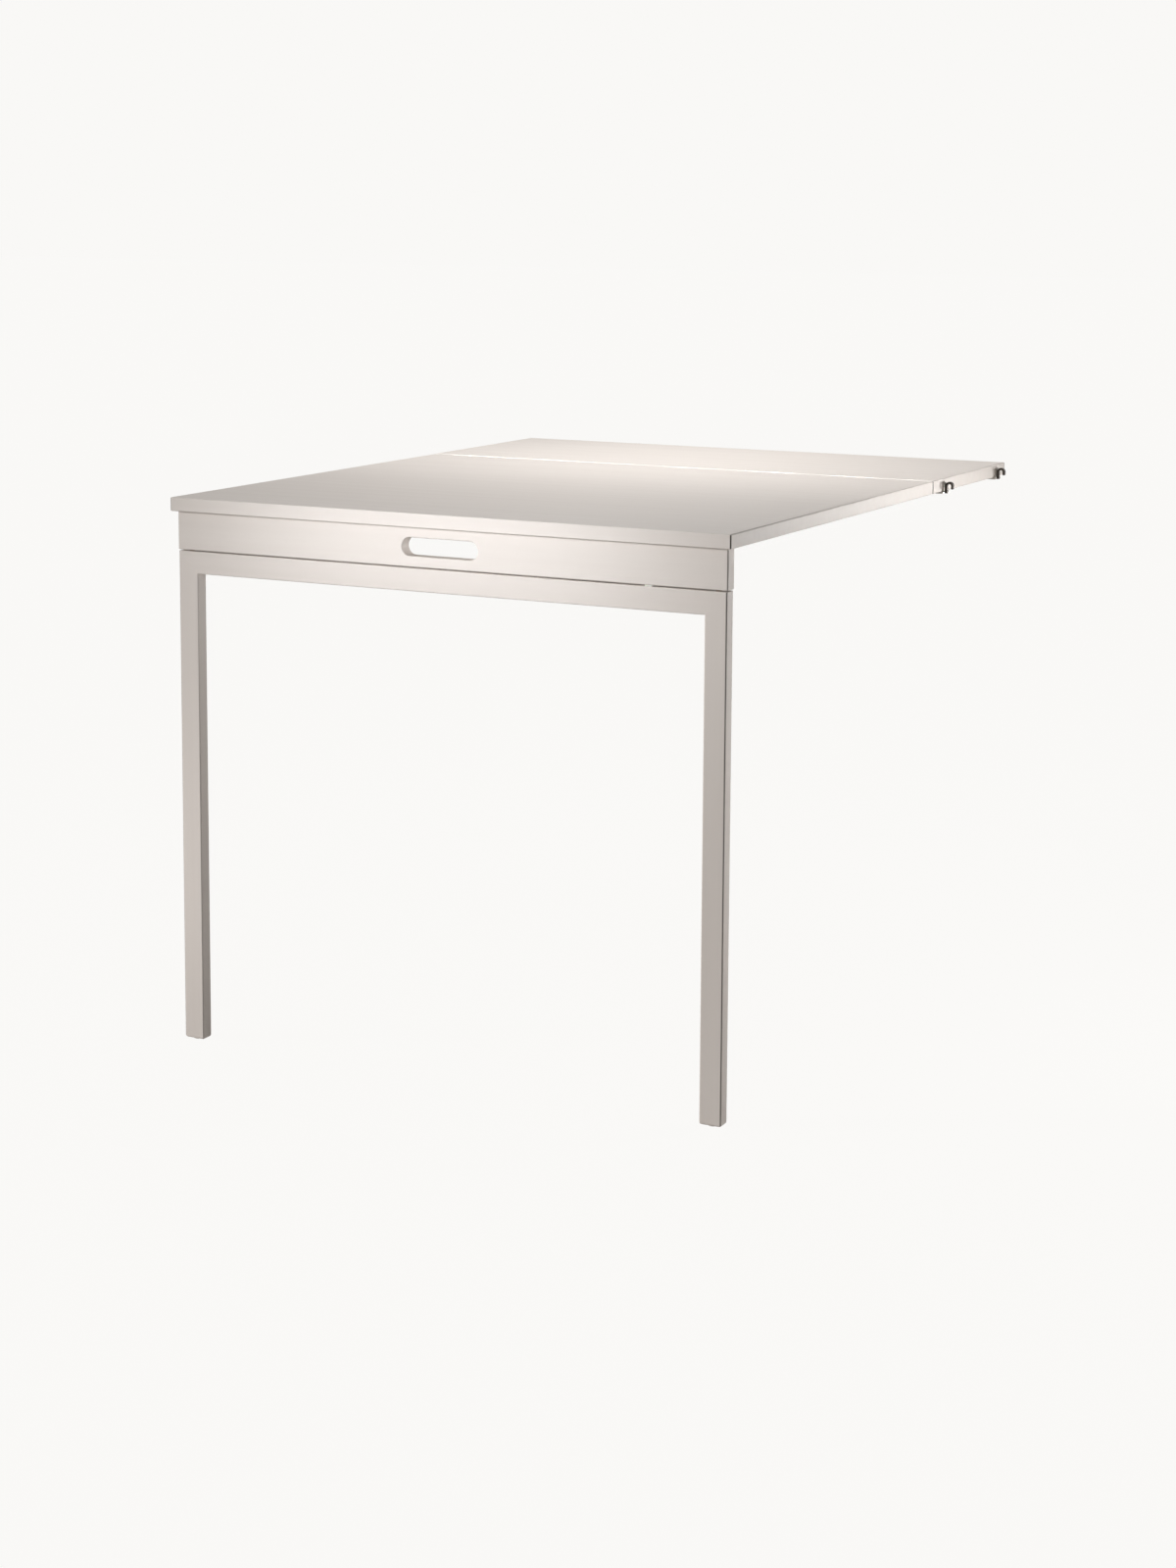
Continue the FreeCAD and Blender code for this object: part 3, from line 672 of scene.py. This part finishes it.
# Each row: name, place, point aimed at, width and height, spread in degrees, watts.
LAMPS = (
    ("front_strip", (0.0, -0.75, 0.75), (0.0, -0.48, 0.66), (0.54, 0.05), 110, 0.42),
    ("low_left", (-0.85, -1.0, 0.22), (-0.37, -0.48, 0.23), (0.3, 0.2), 60, 0.17),
    ("wall_end_low", (-0.07, 0.32, 1.2), (-0.07, 0.32, 0.7), (0.6, 0.5), 180, 1.9),
    ("wall_end_high", (0.0, 0.30, 1.8), (0.0, 0.10, 0.7), (1.2, 0.8), 180, 4.0),
    ("middle", (-0.03, -0.2, 1.15), (-0.03, -0.2, 0.7), (0.5, 0.4), 180, 0.24),
    ("seam_skim", (0.0, -1.5, 0.888), (0.0, 0.186, 0.71), (1.0, 0.02), 3, 0.16),
    ("right_edge", (1.0, 0.90, 0.62), (0.39, 0.06, 0.69), (0.2, 0.1), 50, 0.56),
    ("right_back", (1.1, 0.40, 0.42), (0.38, -0.47, 0.40), (0.3, 0.4), 180, 3.2),
    ("leg_side", (1.1, 0.40, 0.30), (0.38, -0.47, 0.22), (0.3, 0.5), 50, 0.40),
)


def hang(name, data, place, direction):
    """Puts a lamp at a place, shining along a direction and hidden from the camera."""
    lamp = bpy.data.objects.new(name, data)
    lamp.location = place
    lamp.rotation_euler = direction.to_track_quat("-Z", "Y").to_euler()
    lamp.visible_camera = False
    lamp.visible_glossy = name not in LOW_LAMPS
    bpy.context.scene.collection.objects.link(lamp)
    return lamp


def key_light():
    data = bpy.data.lights.new("key", "SUN")
    data.angle = KEY_SOFTNESS
    data.energy = KEY_STRENGTH
    towards = Vector((math.sin(KEY_TURN) * math.cos(KEY_HEIGHT),
                      -math.cos(KEY_TURN) * math.cos(KEY_HEIGHT), math.sin(KEY_HEIGHT)))
    return hang("key", data, towards * KEY_DISTANCE, -towards)


def area_lamp(name, place, aim, size, spread, watts):
    data = bpy.data.lights.new(name, "AREA")
    data.shape = "RECTANGLE"
    data.size, data.size_y = size
    data.spread = math.radians(spread)
    data.energy = watts
    data.color = TINTS.get(name, UNTINTED)
    return hang(name, data, place, Vector(aim) - Vector(place))


lamps = [key_light()] + [area_lamp(*row) for row in LAMPS]
print("lamps", [lamp.name for lamp in lamps])

# %% [markdown]
# ## Camera
#
# The view is from the front right and a little above the top. Upright lines stay almost
# parallel in it, so the lens looks nearly level and is shifted down, as a view camera would
# be. A camera tilted further down without a shift would make them converge. The focal length
# and the shift are given in pixels of a 1200 by 1600 picture. Blender measures both by the
# long side of its 36 mm sensor, which is the picture's height, so they are divided by it.

# %% Camera at the photograph's place
PICTURE_HEIGHT = 1600.0
SENSOR = 36.0
FOCAL_PIXELS = 2872.4
CAMERA_PLACE = (1.6948, -3.4156, 1.1073)
HORIZONTAL_TURN = math.radians(26.938)
TILT_DOWN = math.radians(7.384)
ROLL = math.radians(0.326)
LENS_DROP = -240.0

camera_data = bpy.data.cameras.new("view")
camera_data.sensor_width = SENSOR
camera_data.lens = SENSOR * FOCAL_PIXELS / PICTURE_HEIGHT
camera_data.shift_y = LENS_DROP / PICTURE_HEIGHT
camera = bpy.data.objects.new("view", camera_data)
camera.location = CAMERA_PLACE
level = Matrix.Rotation(HORIZONTAL_TURN, 3, "Z")
tilted = level @ Matrix.Rotation(math.pi / 2 - TILT_DOWN, 3, "X")
camera.rotation_euler = (tilted @ Matrix.Rotation(ROLL, 3, "Z")).to_euler()
bpy.context.scene.collection.objects.link(camera)
bpy.context.scene.camera = camera
print("lens", round(camera_data.lens, 2), "mm")
